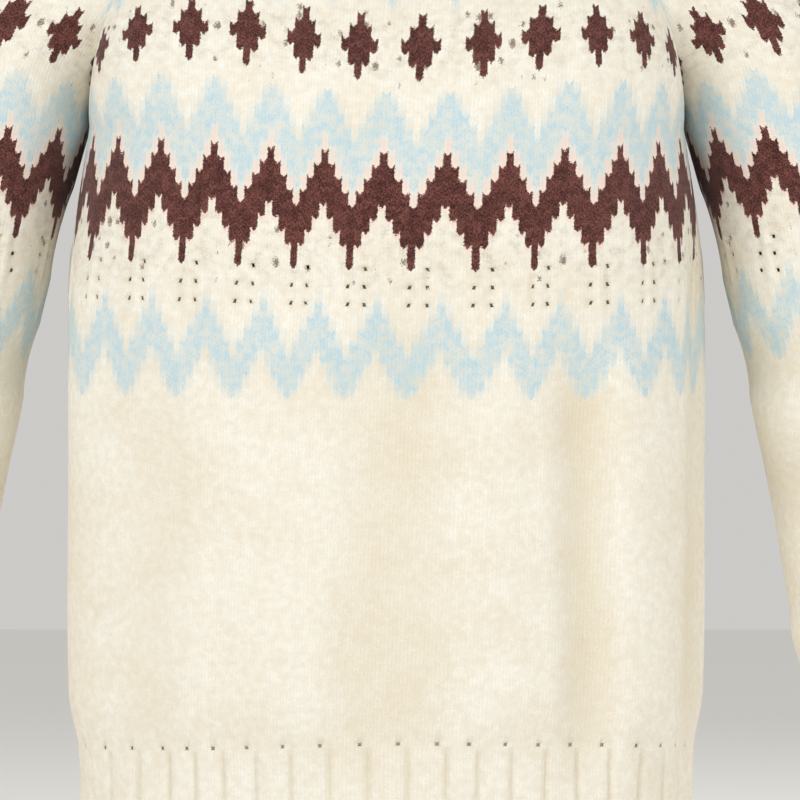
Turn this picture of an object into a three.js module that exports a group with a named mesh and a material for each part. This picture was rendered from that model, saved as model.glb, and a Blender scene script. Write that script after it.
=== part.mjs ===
// Fair isle jumper in the hollow shape that it takes when worn: a ribbed tube for the body, a
// raglan yoke and two hanging sleeves, all of thin knitted walls, open at neck, cuffs and hem.
// Millimetres, +Z up. The front faces -Y and the wearer's left is +X. The origin lies in the middle
// of the neck opening, level with the tops of the shoulders that carry the jumper.

import * as THREE from "three";

// Knitting gauge
const ROW_HEIGHT = 2.38;

// Whole sizes; heights are above the hem's edge
const SHOULDER_HEIGHT = 592;
const HEM_RIB = 62;
const ARMPIT_ROW = 135;
const CUFF = 56;
const WALL = 2.4;
const SEAM_GAP = 0.3;
const CREAM = 0xf4eddc;

// Body sections: half width, and how far the front and back stand from the middle
const BODY_SECTIONS = [
  { height: 0, halfWidth: 171, front: 114, back: 109 },
  { height: 55, halfWidth: 172, front: 116, back: 111 },
  { height: 85, halfWidth: 177, front: 120, back: 116 },
  { height: 200, halfWidth: 178, front: 123, back: 117 },
  { height: 320, halfWidth: 177, front: 127, back: 119 },
  { height: 402, halfWidth: 166, front: 128, back: 118 },
];
const GAUGE_HEIGHT = 200;
const BODY_SQUARENESS = 2.6;
const SEAM_TO_CENTRE = 250;

// A knitted row is this much higher at the side seams than at the centre of the front
const ROW_RISE = [
  { row: 0, rise: -8 },
  { row: 55, rise: 0 },
  { row: 78, rise: 4 },
  { row: 108, rise: 11 },
  { row: 135, rise: 18.7 },
];
const BACK_RISE_SHARE = 0.5;

// Rings that shape the yoke: the chest and shoulder rings steer the walls on their way to the neck
const CHEST_RING = { halfWidth: 262, front: 125, back: 114, squareness: 2.2, edgeTurn: 37 };
const CHEST_LIFT = { centre: 48, edge: 62, shoulder: 100 };
const SHOULDER_RING = {
  halfWidth: 172, front: 103, back: 98, edgeTurn: 45, heights: { front: 480, side: 573, back: 558 },
};
const NECK_RING = {
  halfWidth: 80, front: 72, back: 60, edgeTurn: 50, heights: { front: 520, side: 592, back: 586 },
};
const NECKBAND_TOP = {
  halfWidth: 75, front: 64, back: 55, heights: { front: 543, side: 613, back: 609 },
};

// Sleeve sections below the armpit: how far out, forward or back the middle lies, and half sizes
const SLEEVE_SECTIONS = [
  { down: 0, out: 217.4, back: 0, halfWidth: 51, halfDepth: 58 },
  { down: 40, out: 228, back: 1, halfWidth: 50.5, halfDepth: 56 },
  { down: 110, out: 243, back: 2, halfWidth: 48, halfDepth: 53 },
  { down: 190, out: 257, back: -2, halfWidth: 45, halfDepth: 49 },
  { down: 260, out: 267, back: -12, halfWidth: 43, halfDepth: 46 },
  { down: 315, out: 274, back: -24, halfWidth: 42.5, halfDepth: 45 },
  { down: 340, out: 277, back: -30, halfWidth: 41, halfDepth: 43 },
  { down: 352, out: 278.5, back: -33, halfWidth: 35, halfDepth: 37 },
];
const SLEEVE_DROP = 352;
const CUFF_END = { out: 285, back: -46, halfWidth: 31, halfDepth: 33 };
const CUFF_START = { out: 278.5, back: -33, halfWidth: 34, halfDepth: 36 };

// Ribbing: a narrow groove, two flanks and a low crown in each rib, over a plain inside
const RIB_RELIEF = [
  { phase: 0, relief: -1.3 },
  { phase: 0.14, relief: 0 },
  { phase: 0.5, relief: 0.4 },
  { phase: 0.86, relief: 0 },
];
const RIB_WALL = 2.8;
const HEM_RIBS = 50;
const CUFF_RIBS = 11;
const NECK_RIBS = 24;

// Long soft folds of the body: a positive depth stands out, and drift is the lean over its height
const FRONT_FOLDS = [
  { across: 116, spread: 28, depth: -6.5, low: 55, high: 265, drift: -6 },
  { across: 6, spread: 44, depth: -5, low: 50, high: 285, drift: 8 },
  { across: -62, spread: 42, depth: 3, low: 60, high: 300, drift: 6 },
  { across: 60, spread: 30, depth: 3, low: 60, high: 280, drift: -4 },
  { across: -138, spread: 34, depth: -4.5, low: 60, high: 250, drift: 10 },
  { across: 150, spread: 34, depth: 3.5, low: 55, high: 260, drift: -6 },
  { across: -196, spread: 34, depth: 4, low: 50, high: 330, drift: 10 },
  { across: 200, spread: 30, depth: -5, low: 60, high: 330, drift: 6 },
];
const BACK_FOLDS = [
  { across: -92, spread: 34, depth: -6, low: 50, high: 290, drift: 14 },
  { across: 18, spread: 46, depth: -4.5, low: 50, high: 250, drift: -8 },
  { across: 70, spread: 36, depth: 3.5, low: 60, high: 300, drift: -8 },
  { across: 122, spread: 32, depth: -6, low: 55, high: 320, drift: -14 },
  { across: -40, spread: 34, depth: 3, low: 60, high: 280, drift: 8 },
  { across: 190, spread: 36, depth: 4, low: 50, high: 330, drift: -6 },
  { across: -190, spread: 34, depth: -4, low: 60, high: 330, drift: 6 },
];
const FOLD_FADE = 70;

// Creases round a sleeve, where the elbow bends it and where it bunches over the cuff
const SLEEVE_FOLDS = [
  { down: 330, spread: 13, depth: 2.5, around: 0.55, reach: 0.5 },
  { down: 306, spread: 13, depth: -3, around: 0.25, reach: 0.32 },
  { down: 284, spread: 14, depth: 2.5, around: 0.2, reach: 0.3 },
  { down: 262, spread: 14, depth: -3, around: 0.3, reach: 0.28 },
  { down: 205, spread: 20, depth: -5, around: 0.2, reach: 0.22 },
  { down: 168, spread: 20, depth: 3, around: 0.22, reach: 0.24 },
];

// Cells along each piece
const FRONT_COLUMNS = 32;
const BACK_COLUMNS = 26;
const BODY_STEPS = 11;
const YOKE_STEPS = 8;
const SLEEVE_COLUMNS = 18;
const SLEEVE_STOPS = [352, 341, 329, 317, 305, 294, 283, 272, 260, 240, 218, 196, 174, 152, 128, 96, 60, 28, 0];
const HEM_STEPS = 3;

const DERIVATIVE_STEP = 0.002;
const SECTION_SAMPLES = 600;

function point(x, y, z) {
  return new THREE.Vector3(x, y, z);
}

function clamp(value, low, high) {
  return Math.min(high, Math.max(low, value));
}

function smooth(value) {
  const part = clamp(value, 0, 1);
  return part * part * (3 - 2 * part);
}

// Reads one column of a table at a place between its rows, along a smooth curve through them.
function tableValue(rows, key, column, at) {
  const last = rows.length - 1;
  const above = rows.findIndex((row) => row[key] > at);
  const low = clamp((above < 0 ? last : above) - 1, 0, last - 1);
  const slope = (index) => {
    const before = rows[Math.max(index - 1, 0)];
    const after = rows[Math.min(index + 1, last)];
    return (after[column] - before[column]) / (after[key] - before[key]);
  };
  const from = rows[low];
  const to = rows[low + 1];
  const span = to[key] - from[key];
  const part = clamp((at - from[key]) / span, 0, 1);
  const rest = 1 - part;
  return (
    from[column] * rest * rest * (1 + 2 * part) +
    to[column] * part * part * (3 - 2 * part) +
    slope(low) * span * part * rest * rest -
    slope(low + 1) * span * part * part * rest
  );
}

// Shares of the cloth's length at even turns along a quarter of the section at the gauge height.
function evenTurns() {
  const { halfWidth, front } = BODY_SECTIONS.find(({ height }) => height === GAUGE_HEIGHT);
  const power = 2 / BODY_SQUARENESS;
  const lengths = [0];
  let before = [0, front];
  for (let sample = 1; sample <= SECTION_SAMPLES; sample += 1) {
    const turn = (Math.PI / 2) * (sample / SECTION_SAMPLES);
    const here = [halfWidth * Math.sin(turn) ** power, front * Math.max(Math.cos(turn), 0) ** power];
    lengths.push(lengths[sample - 1] + Math.hypot(here[0] - before[0], here[1] - before[1]));
    before = here;
  }
  return lengths.map((length) => length / lengths[SECTION_SAMPLES]);
}

const EVEN_TURNS = evenTurns();

function quarterTurn(share) {
  const above = Math.max(EVEN_TURNS.findIndex((length) => length >= share), 1);
  const low = EVEN_TURNS[above - 1];
  const part = (share - low) / (EVEN_TURNS[above] - low);
  return (Math.PI / 2) * ((above - 1 + part) / SECTION_SAMPLES);
}

// Height above the hem of a knitted row; across runs from -1 at one side seam to 1 at the other.
function rowHeight(isBack, across, row) {
  const rise = tableValue(ROW_RISE, "row", "rise", row);
  const toSide = Math.sin((Math.PI / 2) * across) ** 2;
  const share = isBack ? 1 - BACK_RISE_SHARE * (1 - toSide) : toSide;
  return HEM_RIB + ROW_HEIGHT * row + rise * share;
}

// A point of the plain body at a height above the hem, before its folds.
function bodyPoint(isBack, across, height) {
  const power = 2 / BODY_SQUARENESS;
  const turn = quarterTurn(Math.abs(across));
  const halfWidth = tableValue(BODY_SECTIONS, "height", "halfWidth", height);
  const depth = tableValue(BODY_SECTIONS, "height", isBack ? "back" : "front", height);
  const x = Math.sign(across) * halfWidth * Math.sin(turn) ** power;
  const y = (isBack ? 1 : -1) * depth * Math.max(Math.cos(turn), 0) ** power;
  return point(x, y, height);
}

// Height of a tilted ring round the neck, by its turn from the centre front.
function ringHeight(heights, turn) {
  const middle = (heights.front + heights.back) / 2;
  const even = (middle + heights.side) / 2;
  const tilt = (heights.front - heights.back) / 2;
  return even + tilt * Math.cos(turn) + ((middle - heights.side) / 2) * Math.cos(2 * turn);
}

function ringPoint(ring, turn) {
  const depth = Math.cos(turn) > 0 ? ring.front : ring.back;
  return point(ring.halfWidth * Math.sin(turn), -depth * Math.cos(turn), ringHeight(ring.heights, turn));
}

function chestDepth(x) {
  const share = Math.min(Math.abs(x) / CHEST_RING.halfWidth, 1);
  return (1 - share ** CHEST_RING.squareness) ** (1 / CHEST_RING.squareness);
}

function bezier(stops, part) {
  const rest = 1 - part;
  const weights = [rest ** 3, 3 * rest * rest * part, 3 * rest * part * part, part ** 3];
  const sum = point(0, 0, 0);
  stops.forEach((stop, index) => sum.addScaledVector(stop, weights[index]));
  return sum;
}

// A point of the front or back: up is 0 at the rib, 1 at the armpits' row and 2 at the neckband.
function panelPoint(isBack, across, up) {
  const row = Math.min(up, 1) * ARMPIT_ROW;
  const start = bodyPoint(isBack, across, rowHeight(isBack, across, row));
  if (up <= 1) {
    return start;
  }
  const side = isBack ? 1 : -1;
  const chestX = start.x;
  const chestY = side * (isBack ? CHEST_RING.back : CHEST_RING.front) * chestDepth(chestX);
  const lift = CHEST_LIFT.centre + (CHEST_LIFT.edge - CHEST_LIFT.centre) * across * across;
  const turnTo = (ring) => {
    const turn = THREE.MathUtils.degToRad(ring.edgeTurn) * across;
    return ringPoint(ring, isBack ? Math.PI - turn : turn);
  };
  return bezier([start, point(chestX, chestY, start.z + lift), turnTo(SHOULDER_RING), turnTo(NECK_RING)], up - 1);
}

function foldOffset(folds, across, height) {
  return folds.reduce((sum, fold) => {
    const middle = fold.across + (fold.drift * (height - fold.low)) / (fold.high - fold.low);
    const off = (across * SEAM_TO_CENTRE - middle) / fold.spread;
    const ends = smooth((height - fold.low + FOLD_FADE / 2) / FOLD_FADE) *
      smooth((fold.high - height + FOLD_FADE / 2) / FOLD_FADE);
    return sum + fold.depth * ends * Math.max(0, 1 - off * off) ** 2;
  }, 0);
}

// A point of the left sleeve below the armpit; around is 0 at the body, 0.25 in front, 0.5 outside.
function sleevePoint(around, down) {
  const value = (column) => tableValue(SLEEVE_SECTIONS, "down", column, down);
  const turn = 2 * Math.PI * around;
  return point(
    value("out") - value("halfWidth") * Math.cos(turn),
    value("back") - value("halfDepth") * Math.sin(turn),
    armpitHeight() - down,
  );
}

function armpitHeight() {
  return rowHeight(false, 1, ARMPIT_ROW);
}

// A point of the left sleeve's cap, between the two raglan lines.
function capPoint(around, part) {
  const chest = THREE.MathUtils.degToRad(CHEST_RING.edgeTurn + (180 - 2 * CHEST_RING.edgeTurn) * around);
  const power = 2 / CHEST_RING.squareness;
  const depth = Math.cos(chest) > 0 ? CHEST_RING.front : CHEST_RING.back;
  const lift = CHEST_LIFT.edge + (CHEST_LIFT.shoulder - CHEST_LIFT.edge) * Math.sin(Math.PI * around);
  const chestPoint = point(
    CHEST_RING.halfWidth * Math.sin(chest) ** power,
    -depth * Math.sign(Math.cos(chest)) * Math.abs(Math.cos(chest)) ** power,
    armpitHeight() + lift,
  );
  const turnTo = (ring) =>
    ringPoint(ring, THREE.MathUtils.degToRad(ring.edgeTurn + (180 - 2 * ring.edgeTurn) * around));
  return bezier([sleevePoint(around, 0), chestPoint, turnTo(SHOULDER_RING), turnTo(NECK_RING)], part);
}

function sleeveFoldOffset(around, down) {
  return SLEEVE_FOLDS.reduce((sum, fold) => {
    const turned = Math.abs(around - fold.around);
    const off = Math.min(turned, 1 - turned) / fold.reach;
    const along = (down - fold.down) / fold.spread;
    return sum + fold.depth * Math.max(0, 1 - off * off) * Math.max(0, 1 - along * along);
  }, 0);
}

// The outward direction of a surface that is given as a function of two parameters.
function outward(surface, across, up, limits) {
  const step = DERIVATIVE_STEP;
  const right = Math.min(across + step, limits.right);
  const left = Math.max(across - step, limits.left);
  const top = Math.min(up + step * limits.upScale, limits.top);
  const bottom = Math.max(up - step * limits.upScale, limits.bottom);
  const sideways = surface(right, up).sub(surface(left, up));
  const upwards = surface(across, top).sub(surface(across, bottom));
  return sideways.cross(upwards).normalize();
}

// Closes a sheet of cloth into a wall. The cells name its points, in order round each cell, and
// every edge that only one cell uses gets a rim between the outside and the inside.
function wallGeometry(outer, inner, cells) {
  const count = outer.length;
  const triangles = [];
  const openEdges = new Map();
  for (const cell of cells) {
    const [a, b, c, d] = cell;
    triangles.push([a, b, c], [a, c, d], [count + a, count + c, count + b], [count + a, count + d, count + c]);
    cell.forEach((from, index) => {
      const to = cell[(index + 1) % 4];
      if (!openEdges.delete(`${to} ${from}`)) {
        openEdges.set(`${from} ${to}`, [from, to]);
      }
    });
  }
  for (const [from, to] of openEdges.values()) {
    triangles.push([to, from, count + from], [to, count + from, count + to]);
  }
  const points = [...outer, ...inner];
  const volume = triangles.reduce((sum, [a, b, c]) => {
    return sum + points[a].dot(points[b].clone().cross(points[c]));
  }, 0);
  const facing = volume > 0 ? triangles : triangles.map(([a, b, c]) => [a, c, b]);
  const geometry = new THREE.BufferGeometry();
  const positions = points.flatMap(({ x, y, z }) => [x, y, z - SHOULDER_HEIGHT]);
  geometry.setAttribute("position", new THREE.Float32BufferAttribute(positions, 3));
  geometry.setIndex(facing.flat());
  geometry.computeVertexNormals();
  return geometry;
}

function knittedMesh(name, geometry) {
  const material = new THREE.MeshStandardMaterial({ color: CREAM, roughness: 0.95, metalness: 0 });
  const mesh = new THREE.Mesh(geometry, material);
  mesh.name = name;
  return mesh;
}

// Moves the points at the ends of a row away from the seam, towards their neighbours.
function leaveSeam(row) {
  const pull = (edge, next) => edge.add(next.clone().sub(edge).setLength(SEAM_GAP / 2));
  pull(row[0], row[1]);
  pull(row[row.length - 1], row[row.length - 2]);
}

function grid(columns, rows, closed) {
  const width = closed ? columns : columns + 1;
  const cells = [];
  for (let row = 0; row < rows; row += 1) {
    for (let column = 0; column < columns; column += 1) {
      const next = (column + 1) % width;
      cells.push([row * width + column, row * width + next, (row + 1) * width + next, (row + 1) * width + column]);
    }
  }
  return cells;
}

// The front or back, from the hem rib to the neckband.
function panel(name, isBack, columns, folds) {
  const outer = [];
  const inner = [];
  const limits = { left: -1, right: 1, bottom: 0, top: 2, upScale: 1 };
  const surface = (across, up) => panelPoint(isBack, across, up);
  const steps = BODY_STEPS + YOKE_STEPS;
  for (let step = 0; step <= steps; step += 1) {
    const up = step <= BODY_STEPS ? step / BODY_STEPS : 1 + (step - BODY_STEPS) / YOKE_STEPS;
    const outerRow = [];
    const innerRow = [];
    for (let column = 0; column <= columns; column += 1) {
      const across = (2 * column) / columns - 1;
      const base = surface(across, up);
      const out = outward(surface, across, up, limits).multiplyScalar(isBack ? -1 : 1);
      const fold = foldOffset(folds, across, base.z);
      outerRow.push(base.clone().addScaledVector(out, fold));
      innerRow.push(base.clone().addScaledVector(out, fold - WALL));
    }
    leaveSeam(outerRow);
    leaveSeam(innerRow);
    outer.push(...outerRow);
    inner.push(...innerRow);
  }
  return knittedMesh(name, wallGeometry(outer, inner, grid(columns, steps, false)));
}

// A sleeve is a tube up to the armpit and an open cap above it, where it meets the raglan lines.
function sleeve(name, side) {
  const outer = [];
  const inner = [];
  const numbers = [];
  const tubeLimits = { left: -1, right: 2, bottom: 0, top: SLEEVE_DROP, upScale: SLEEVE_DROP };
  const capLimits = { left: 0, right: 1, bottom: 0, top: 1, upScale: 1 };
  const addRow = (surface, limits, up, closed, down) => {
    const outerRow = [];
    const innerRow = [];
    for (let column = 0; column <= SLEEVE_COLUMNS; column += 1) {
      const around = column / SLEEVE_COLUMNS;
      const out = outward(surface, around, up, limits);
      const base = surface(around, up);
      const fold = down === undefined ? 0 : sleeveFoldOffset(around, down);
      outerRow.push(base.clone().addScaledVector(out, fold));
      innerRow.push(base.clone().addScaledVector(out, fold - WALL));
    }
    if (!closed) {
      leaveSeam(outerRow);
      leaveSeam(innerRow);
    }
    const kept = closed ? SLEEVE_COLUMNS : SLEEVE_COLUMNS + 1;
    const first = outer.length;
    numbers.push(outerRow.map((_, column) => first + (column % kept)));
    outer.push(...outerRow.slice(0, kept));
    inner.push(...innerRow.slice(0, kept));
  };
  for (const down of SLEEVE_STOPS) {
    const tube = (around, up) => sleevePoint(around, SLEEVE_DROP - up);
    addRow(tube, tubeLimits, SLEEVE_DROP - down, true, down);
  }
  for (let step = 1; step <= YOKE_STEPS; step += 1) {
    addRow(capPoint, capLimits, step / YOKE_STEPS, false);
  }
  const cells = [];
  for (let row = 0; row + 1 < numbers.length; row += 1) {
    for (let column = 0; column < SLEEVE_COLUMNS; column += 1) {
      cells.push([
        numbers[row][column], numbers[row][column + 1], numbers[row + 1][column + 1], numbers[row + 1][column],
      ]);
    }
  }
  const mirrored = (points) => points.map(({ x, y, z }) => point(side * x, y, z));
  return knittedMesh(name, wallGeometry(mirrored(outer), mirrored(inner), cells));
}

// A ribbed tube. The surface takes a share of the way round and a share of the way up, and so does
// the fold, which tells how far a soft fold moves the wall outwards.
function ribbedTube(name, ribs, steps, surface, fold) {
  const outer = [];
  const inner = [];
  const limits = { left: -1, right: 2, bottom: 0, top: 1, upScale: 1 };
  for (let step = 0; step <= steps; step += 1) {
    for (let rib = 0; rib < ribs; rib += 1) {
      for (const { phase, relief } of RIB_RELIEF) {
        const around = (rib + phase) / ribs;
        const up = step / steps;
        const out = outward(surface, around, up, limits);
        const base = surface(around, up);
        const moved = fold(around, up);
        outer.push(base.clone().addScaledVector(out, moved + relief));
        inner.push(base.clone().addScaledVector(out, moved - RIB_WALL));
      }
    }
  }
  return knittedMesh(name, wallGeometry(outer, inner, grid(ribs * RIB_RELIEF.length, steps, true)));
}

// Round the hem the first half is the front, from the right side seam to the left, then the back.
// The folds of the body fade out in it.
function hemRib() {
  const place = (around) => {
    const share = ((around % 1) + 1) % 1;
    const isBack = share > 0.5;
    return { isBack, across: isBack ? 3 - 4 * share : 4 * share - 1 };
  };
  const surface = (around, up) => {
    const { isBack, across } = place(around);
    const top = rowHeight(isBack, across, 0) - SEAM_GAP;
    return bodyPoint(isBack, across, top * up);
  };
  const fold = (around, up) => {
    const { isBack, across } = place(around);
    return foldOffset(isBack ? BACK_FOLDS : FRONT_FOLDS, across, surface(around, up).z);
  };
  return ribbedTube("hem_rib", HEM_RIBS, HEM_STEPS, surface, fold);
}

function cuff(name, side) {
  const top = armpitHeight() - SLEEVE_DROP - SEAM_GAP;
  const surface = (around, up) => {
    const turn = side * 2 * Math.PI * around;
    const mix = (column) => CUFF_END[column] + (CUFF_START[column] - CUFF_END[column]) * up;
    const x = mix("out") - mix("halfWidth") * Math.cos(turn);
    const y = mix("back") - mix("halfDepth") * Math.sin(turn);
    return point(side * x, y, top - CUFF * (1 - up));
  };
  return ribbedTube(name, CUFF_RIBS, 1, surface, () => 0);
}

function neckband() {
  const surface = (around, up) => {
    const turn = 2 * Math.PI * around;
    const start = ringPoint(NECK_RING, turn);
    start.z += SEAM_GAP;
    return start.lerp(ringPoint(NECKBAND_TOP, turn), up);
  };
  return ribbedTube("neckband", NECK_RIBS, 1, surface, () => 0);
}

const jumper = new THREE.Group();
jumper.add(panel("front", false, FRONT_COLUMNS, FRONT_FOLDS));
jumper.add(panel("back", true, BACK_COLUMNS, BACK_FOLDS));
jumper.add(sleeve("sleeve_left", 1));
jumper.add(sleeve("sleeve_right", -1));
jumper.add(hemRib());
jumper.add(cuff("cuff_left", 1));
jumper.add(cuff("cuff_right", -1));
jumper.add(neckband());

export default jumper;
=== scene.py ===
"""Fair isle jumper in its hollow worn shape: knitted front, back and sleeves with stranded bands and
openwork rows, ribbed hem, cuffs and neckband, a plain studio and the camera."""

import bisect
import math
from itertools import accumulate

import bpy
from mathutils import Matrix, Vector


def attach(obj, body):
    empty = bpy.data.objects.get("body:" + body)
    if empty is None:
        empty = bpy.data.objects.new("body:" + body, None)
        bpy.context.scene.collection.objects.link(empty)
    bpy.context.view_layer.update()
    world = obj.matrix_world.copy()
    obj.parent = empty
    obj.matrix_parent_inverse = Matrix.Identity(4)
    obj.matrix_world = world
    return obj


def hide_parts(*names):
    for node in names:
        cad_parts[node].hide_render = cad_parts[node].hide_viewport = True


bl_info = {
    "name": "Fair Isle Jumper",
    "version": (1, 0, 0),
    "blender": (4, 5, 0),
    "location": "View3D > Sidebar > Jumper",
    "description": "Knits a worn-shape jumper with stranded bands, openwork rows and ribbed edges",
    "category": "Object",
}

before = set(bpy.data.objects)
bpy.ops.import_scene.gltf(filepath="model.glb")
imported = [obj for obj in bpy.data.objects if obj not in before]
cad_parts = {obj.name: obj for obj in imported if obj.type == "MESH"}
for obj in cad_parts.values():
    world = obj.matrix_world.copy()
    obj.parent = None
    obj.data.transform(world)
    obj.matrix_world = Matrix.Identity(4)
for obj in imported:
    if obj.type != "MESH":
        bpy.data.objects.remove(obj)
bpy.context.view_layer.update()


def table(names, *rows):
    """Rows of numbers under the names of their columns."""
    return [dict(zip(names.split(), row)) for row in rows]


# Shape of the jumper in millimetres. Heights are above the hem's edge, and the frame's origin lies
# in the middle of the neck opening, level with the shoulders.
SHOULDER_HEIGHT = 592
HEM_RIB = 62
ARMPIT_ROW = 135
CUFF = 56
SEAM_TO_CENTRE = 250

# The body's sections are squarer than ovals, and its cloth is measured off at one height.
BODY_SQUARENESS = 2.6
GAUGE_HEIGHT = 200

BODY_SECTIONS = table(
    "height half_width front back",
    (0, 171, 114, 109),
    (55, 172, 116, 111),
    (85, 177, 120, 116),
    (200, 178, 123, 117),
    (320, 177, 127, 119),
    (402, 166, 128, 118),
)

# A knitted row is this much higher at the side seams than at the centre of the front.
ROW_RISE = table(
    "row rise",
    (0, -8), (55, 0), (78, 4), (108, 11), (135, 18.7),
)
BACK_RISE_SHARE = 0.5

# Share of that rise across the front, from one side seam (-1) to the other (1). It hangs a
# little aslant, so the rows lie lowest to the right of the middle.
FRONT_RISE = table(
    "across share",
    (-1, 1), (-0.51, 0.48), (-0.38, 0.36), (-0.26, 0.21), (-0.13, 0.1), (0, 0.02), (0.14, 0),
    (0.26, 0.03), (0.39, 0.16), (0.52, 0.28), (0.75, 0.6), (1, 1),
)

# Rings that steer the yoke's walls on their way to the neck.
CHEST_RING = {"half_width": 262, "front": 125, "back": 114, "squareness": 2.2, "edge_turn": 37}
CHEST_LIFT = {"centre": 48, "edge": 62, "shoulder": 100}
SHOULDER_RING = {
    "half_width": 172, "front": 103, "back": 98, "edge_turn": 45,
    "heights": {"front": 480, "side": 573, "back": 558},
}
NECK_RING = {
    "half_width": 80, "front": 72, "back": 60, "edge_turn": 50,
    "heights": {"front": 520, "side": 592, "back": 586},
}
NECKBAND_TOP = {
    "half_width": 75, "front": 64, "back": 55,
    "heights": {"front": 543, "side": 613, "back": 609},
}

SLEEVE_SECTIONS = table(
    "down out back half_width half_depth",
    (0, 217.4, 0, 51, 58),
    (40, 228, 1, 50.5, 56),
    (110, 243, 2, 48, 53),
    (190, 257, -2, 45, 49),
    (260, 267, -12, 43, 46),
    (315, 274, -24, 42.5, 45),
    (340, 277, -30, 41, 43),
    (352, 278.5, -33, 35, 37),
)
SLEEVE_DROP = 352
SLEEVE_SLANT = 1.03
CUFF_START = {"out": 278.5, "back": -33, "half_width": 34, "half_depth": 36}
CUFF_END = {"out": 285, "back": -46, "half_width": 31, "half_depth": 33}

# Ribs all round, the shares of a rib's width where its points lie, closer together by the groove,
# and steps of points along each band.
HEM_RIBS = 50
CUFF_RIBS = 11
NECK_RIBS = 24
RIB_PHASES = [0, 0.05, 0.1, 0.17, 0.27, 0.38, 0.5, 0.62, 0.73, 0.83, 0.9, 0.95]
HEM_STEPS = 14
CUFF_STEPS = 12
NECKBAND_STEPS = 8

# Long soft folds: a positive depth stands out, and drift is the lean over the fold's height. Each
# fades at both ends over the same height.
FRONT_FOLDS = table(
    "across spread depth low high drift",
    (114, 26, -8, 55, 265, -6),
    (0, 46, -5.5, 50, 285, 8),
    (-62, 42, 3, 60, 300, 6),
    (60, 30, 3, 60, 280, -4),
    (-138, 34, -3, 60, 250, 10),
    (150, 34, 3.5, 55, 260, -6),
    (-196, 34, 4, 50, 330, 10),
    (200, 30, -5, 60, 330, 6),
)
BACK_FOLDS = table(
    "across spread depth low high drift",
    (-92, 34, -6, 50, 290, 14),
    (18, 46, -4.5, 50, 250, -8),
    (70, 36, 3.5, 60, 300, -8),
    (122, 32, -6, 55, 320, -14),
    (-40, 34, 3, 60, 280, 8),
    (190, 36, 4, 50, 330, -6),
    (-190, 34, -4, 60, 330, 6),
)
FOLD_FADE = 70

# Creases round a sleeve, at the elbow and where it bunches over the cuff.
SLEEVE_FOLDS = table(
    "down spread depth around reach",
    (330, 13, 2.5, 0.55, 0.5),
    (306, 13, -3, 0.25, 0.32),
    (284, 14, 2.5, 0.2, 0.3),
    (262, 14, -3, 0.3, 0.28),
    (205, 20, -5, 0.2, 0.22),
    (168, 20, 3, 0.22, 0.24),
    (132, 20, -4, 0.12, 0.2),
    (60, 26, -4, 0.88, 0.16),
)

# The wales of the front lean to the right, are shifted a little to the left, and are stretched
# unevenly by wear. The lean is in millimetres across for each one up from its height.
HALF_PANEL_WALES = 62
WALE_LEAN = 0.039
LEAN_HEIGHT = 302
FRONT_SHIFT = -4.3
WALE_DRIFT = table(
    "wale drift",
    (-62, 0), (-40, 3), (-24, 3.8), (-16, 3.4), (-8, 0.6), (0, 0), (8, 2), (16, 4.4), (24, 2.6),
    (32, 6), (62, 0),
)

# Openwork, counted in wales from a zigzag's peak and in rows above the hem rib. Each hole leans
# towards the raised wale between the two columns of holes.
REPEAT = 8
EYELETS = [
    {"wale": 3.75, "shift": 0.1, "lean": 0.15, "rows": (99, 103)},
    {"wale": 6.25, "shift": 0.0, "lean": -0.15, "rows": (99, 103, 107)},
]
EYELET_ROWS = sorted({row for eyelet in EYELETS for row in eyelet["rows"]})
EYELET_HEIGHT = 0.85
CORNER_PULL = {"low": 0.12, "high": 0.3}
OPENWORK_START = 95
OPENWORK_TOP = 111
OPENWORK_FADE = 4
# Between the columns of holes one wale stands out, and those beside it lie low, in millimetres.
RAISED_WALE = 5
RAISED_RELIEF = 0.8
BESIDE_RELIEF = -0.5
# Small holes where the hem rib meets the plain knitting: their rows, and how far they lie from the
# grooves of the ribs in millimetres.
TRANSFER_ROWS = (0.2, 1.0)
TRANSFER_OFFSET = -5
# The cloth dips this far at a hole, and lines of points keep this many rows away from it.
HOLE_DIP = 0.8
HOLE_MARGIN = 0.8
# A fold this many millimetres deep gets the full painted shade of a hollow, and low relief adds to it.
FULL_HOLLOW = 10
RELIEF_HOLLOW = 0.3

# Ribs: the crown's rise and the groove's spread in millimetres. The plain knitting above keeps a
# share of them, which fades over some rows.
RIB_CROWN = 0.3
GROOVE_SPREAD = 1.5
RIB_ECHO = 0.25
RIB_ECHO_ROWS = 2.5
# At the outer edge the ribs lose this share of their relief, and the cloth gains as many
# millimetres. At the other end the grooves lose a share of their depth.
EDGE_ROLL = 0.5
EDGE_LENGTH = 2.5
RUN_OUT_SHARE = 0.75
RUN_OUT_LENGTH = 3

# Lines of points: rows between them, steps of the yoke and of the sleeve's cap, and columns.
GRID_ROWS = 3
YOKE_STEPS = 26
CAP_STEPS = 34
SLEEVE_COLUMNS = 172

# In the yoke the rows are stretched, and on the front they bow up halfway to each side.
YOKE_ROW_STRETCH = 1.06
YOKE_BOW_ROWS = 2.2
YOKE_BOW_START = 22


def linear(code):
    """Turns an sRGB hex colour into linear values."""
    channels = [int(code[place:place + 2], 16) / 255 for place in (1, 3, 5)]
    return [c / 12.92 if c <= 0.04045 else ((c + 0.055) / 1.055) ** 2.4 for c in channels]


def measure(name, use, metres):
    """A length that can be set."""
    return bpy.props.FloatProperty(name=name, description=use, default=metres, unit="LENGTH")


def yarn_colour(name, use, code):
    """A yarn's colour that can be set."""
    return bpy.props.FloatVectorProperty(name=name, description=use, default=linear(code), subtype="COLOR")


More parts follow.
